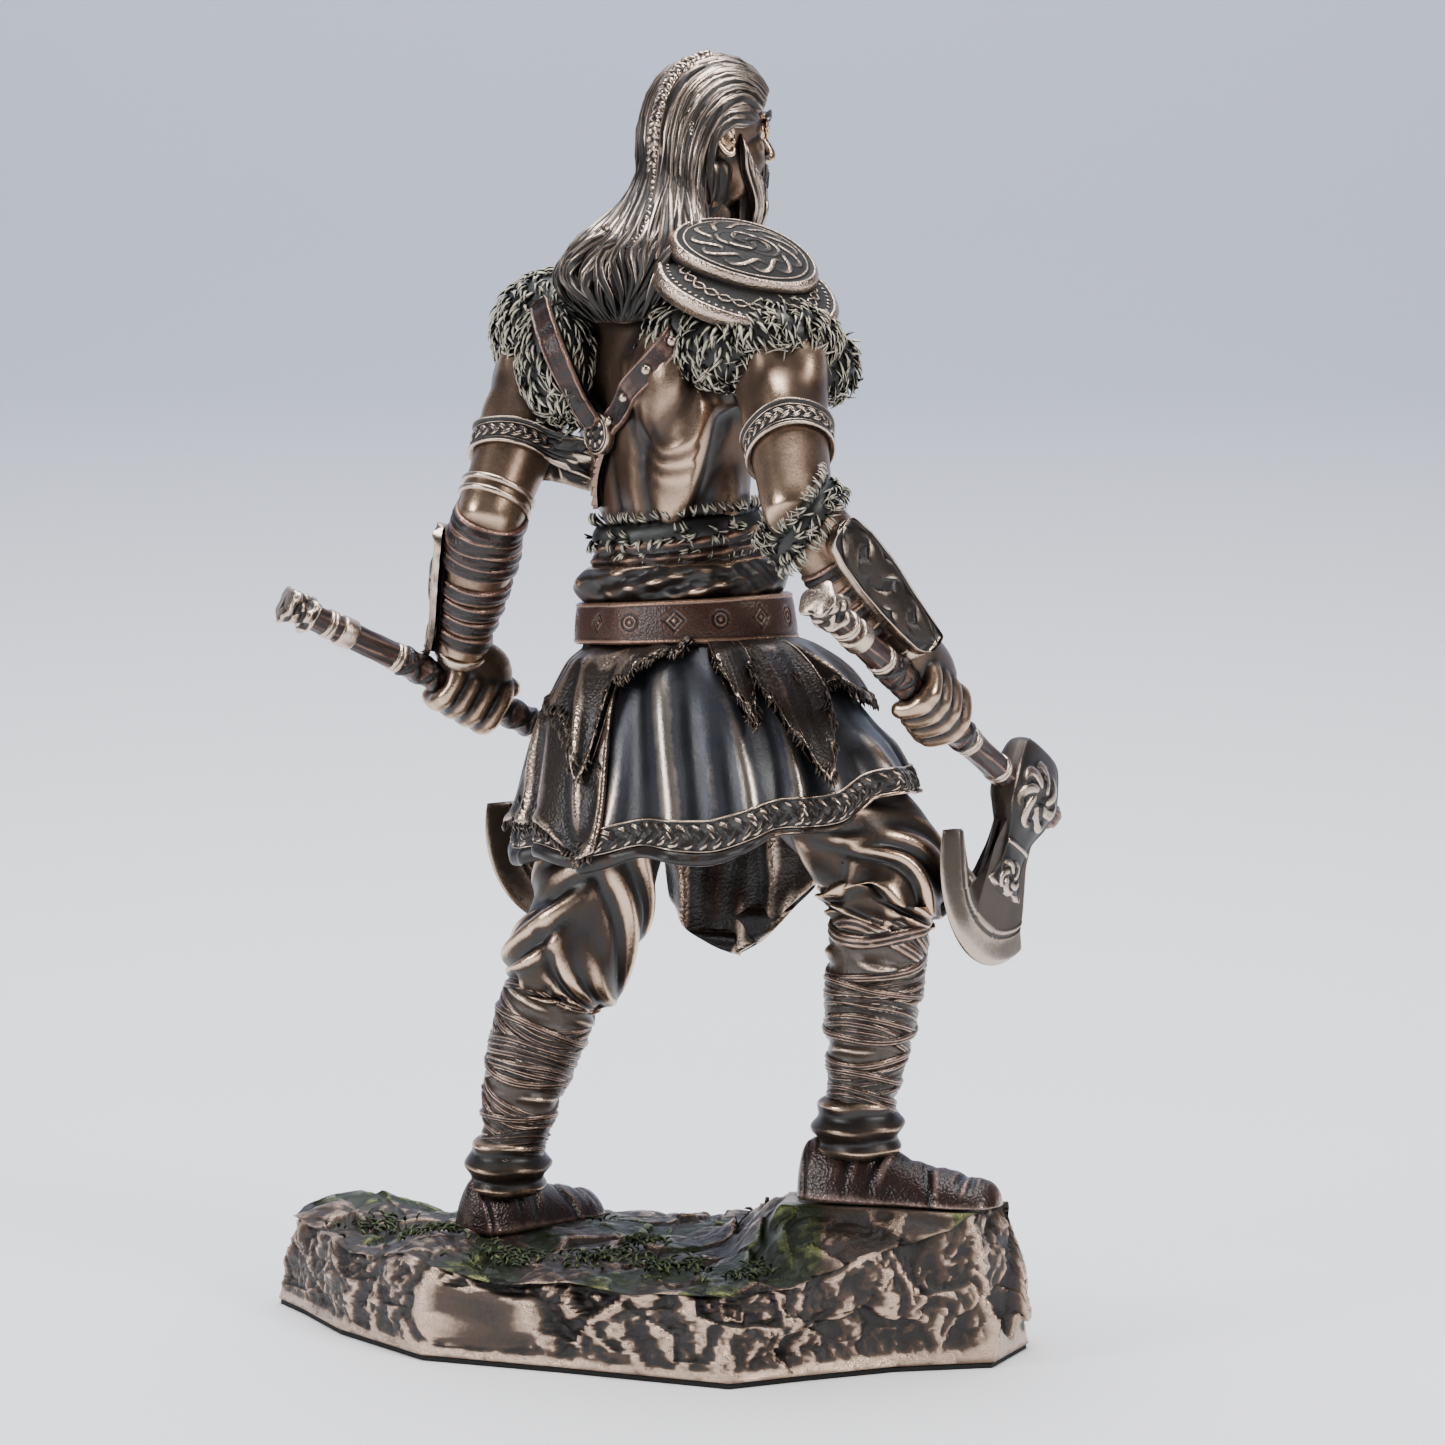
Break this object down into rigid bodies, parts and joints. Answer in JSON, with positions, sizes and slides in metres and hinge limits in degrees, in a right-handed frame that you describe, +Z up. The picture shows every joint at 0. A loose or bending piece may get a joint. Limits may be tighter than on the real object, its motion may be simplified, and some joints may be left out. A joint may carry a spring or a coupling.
{
  "type": "viking warrior statue",
  "caption": "Standing bearded warrior figurine in bronzed resin, an axe in each fist, one foot raised on a rocky plinth with a thin pad underneath.",
  "frame": {"origin": "centre of the pad's underside, on the surface the statue stands on", "axes": "+Z up through the head; the chest faces -Y turned towards -X, and +X is towards the warrior's left hand"},
  "size_m": [0.1794, 0.1246, 0.2813],
  "materials": {
    "bronzed_resin": "cold-cast bronzed resin, dark in the hollows and rubbed bright on the ridges, hand-painted leather, cloth and fur",
    "bronzed_weapon": "cold-cast bronzed resin, reddish-brown painted shaft and a smoother brownish-silver edge",
    "bronzed_rock": "cold-cast bronzed resin, bright broken edges and dark green painted moss on top",
    "black_pad": "thin black felt"
  },
  "bodies": {
    "root": {"viking_figure": "bronzed_resin", "axe_right": "bronzed_weapon", "axe_left": "bronzed_weapon", "rock_base": "bronzed_rock", "base_pad": "black_pad"}
  },
  "joints": []
}
